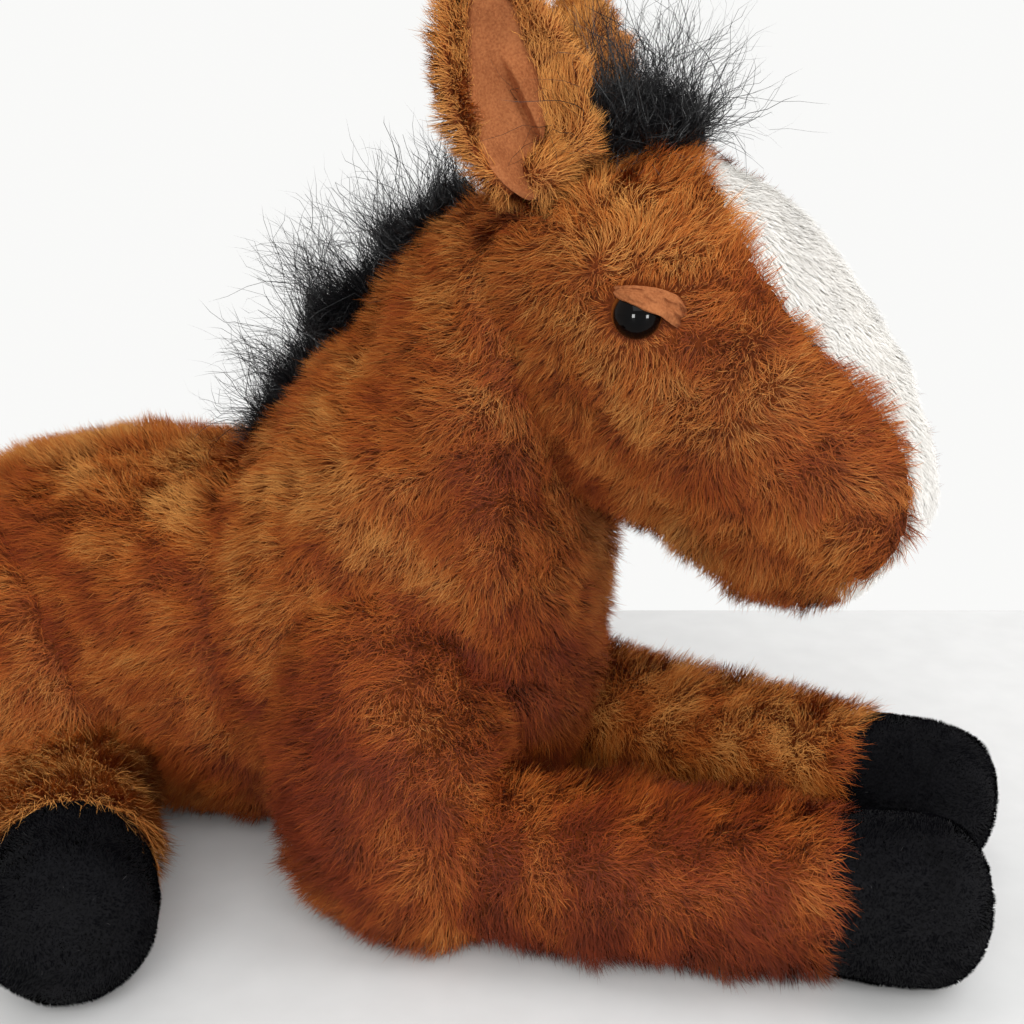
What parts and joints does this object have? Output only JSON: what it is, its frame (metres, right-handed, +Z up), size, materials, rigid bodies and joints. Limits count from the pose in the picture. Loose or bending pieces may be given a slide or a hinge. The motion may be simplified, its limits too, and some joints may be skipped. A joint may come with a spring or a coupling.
{
  "type": "plush horse",
  "caption": "Lying plush foal with sewn and stuffed trunk, nodding head on a soft neck, bending ears and tail, and outstretched legs that lift at their roots.",
  "frame": {"origin": "centre of the bounding box in plan, on the plane that the toy lies on", "axes": "+X from the tail to the fore hooves, the way the foal looks; +Y towards the foal's left side; +Z up"},
  "size_m": [0.4089, 0.282, 0.2763],
  "materials": {
    "fur_fabric": "wavy golden brown pile, about 10 mm long",
    "face_fabric": "white pile, about 5 mm long",
    "hoof_velour": "black velour with a short nap",
    "suede_cloth": "tan suede cloth",
    "long_hair": "long black pile, 30 to 45 mm",
    "eye_plastic": "polished, near black",
    "washer_plastic": "plain moulded"
  },
  "bodies": {
    "trunk": {"rear_torso": "fur_fabric", "front_torso": "fur_fabric", "shoulder_left": "fur_fabric", "shoulder_right": "fur_fabric", "haunch_left": "fur_fabric", "haunch_right": "fur_fabric", "mane": "long_hair"},
    "head": {"head": "fur_fabric", "blaze": "face_fabric", "forelock": "long_hair", "eye_left": "eye_plastic", "eye_right": "eye_plastic", "eye_washer_left": "washer_plastic", "eye_washer_right": "washer_plastic", "eyelid_left": "suede_cloth", "eyelid_right": "suede_cloth"},
    "left_ear": {"ear_left": "fur_fabric", "ear_lining_left": "suede_cloth"},
    "right_ear": {"ear_right": "fur_fabric", "ear_lining_right": "suede_cloth"},
    "left_fore_leg": {"fore_leg_left": "fur_fabric", "fore_hoof_left": "hoof_velour", "fore_sole_left": "hoof_velour"},
    "right_fore_leg": {"fore_leg_right": "fur_fabric", "fore_hoof_right": "hoof_velour", "fore_sole_right": "hoof_velour"},
    "left_hind_leg": {"hind_leg_left": "fur_fabric", "hind_hoof_left": "hoof_velour", "hind_sole_left": "hoof_velour"},
    "right_hind_leg": {"hind_leg_right": "fur_fabric", "hind_hoof_right": "hoof_velour", "hind_sole_right": "hoof_velour"},
    "tail": {"tail": "long_hair"}
  },
  "joints": [
    {"name": "head_nod", "type": "hinge", "parent": "trunk", "child": "head", "pos_m": [0.05878, 0, 0.16823], "axis": [0, 1, 0], "range_deg": [-12, 12], "stiffness_Nm_per_rad": 0.9, "springref_deg": -2.06},
    {"name": "left_ear_bend", "type": "hinge", "parent": "head", "child": "left_ear", "pos_m": [0.07012, 0.02821, 0.21957], "axis": [-1, 0, 0], "range_deg": [-9, 9], "stiffness_Nm_per_rad": 0.02},
    {"name": "right_ear_bend", "type": "hinge", "parent": "head", "child": "right_ear", "pos_m": [0.07012, -0.02821, 0.21957], "axis": [1, 0, 0], "range_deg": [-9, 9], "stiffness_Nm_per_rad": 0.02},
    {"name": "left_fore_leg_lift", "type": "hinge", "parent": "trunk", "child": "left_fore_leg", "pos_m": [0.05662, 0.052, 0.0255], "axis": [-0.1644, -0.9864, 0], "range_deg": [0, 13], "stiffness_Nm_per_rad": 0.25},
    {"name": "right_fore_leg_lift", "type": "hinge", "parent": "trunk", "child": "right_fore_leg", "pos_m": [0.05662, -0.052, 0.0255], "axis": [0.1644, -0.9864, 0], "range_deg": [0, 13], "stiffness_Nm_per_rad": 0.25},
    {"name": "left_hind_leg_lift", "type": "hinge", "parent": "trunk", "child": "left_hind_leg", "pos_m": [-0.08504, 0.05, 0.024], "axis": [0.809, -0.5878, 0], "range_deg": [0, 13], "stiffness_Nm_per_rad": 0.25},
    {"name": "right_hind_leg_lift", "type": "hinge", "parent": "trunk", "child": "right_hind_leg", "pos_m": [-0.08504, -0.05, 0.024], "axis": [-0.809, -0.5878, 0], "range_deg": [0, 13], "stiffness_Nm_per_rad": 0.25},
    {"name": "tail_lift", "type": "hinge", "parent": "trunk", "child": "tail", "pos_m": [-0.16368, 0, 0.08976], "axis": [0, 1, 0], "range_deg": [0, 30], "stiffness_Nm_per_rad": 0.03}
  ]
}
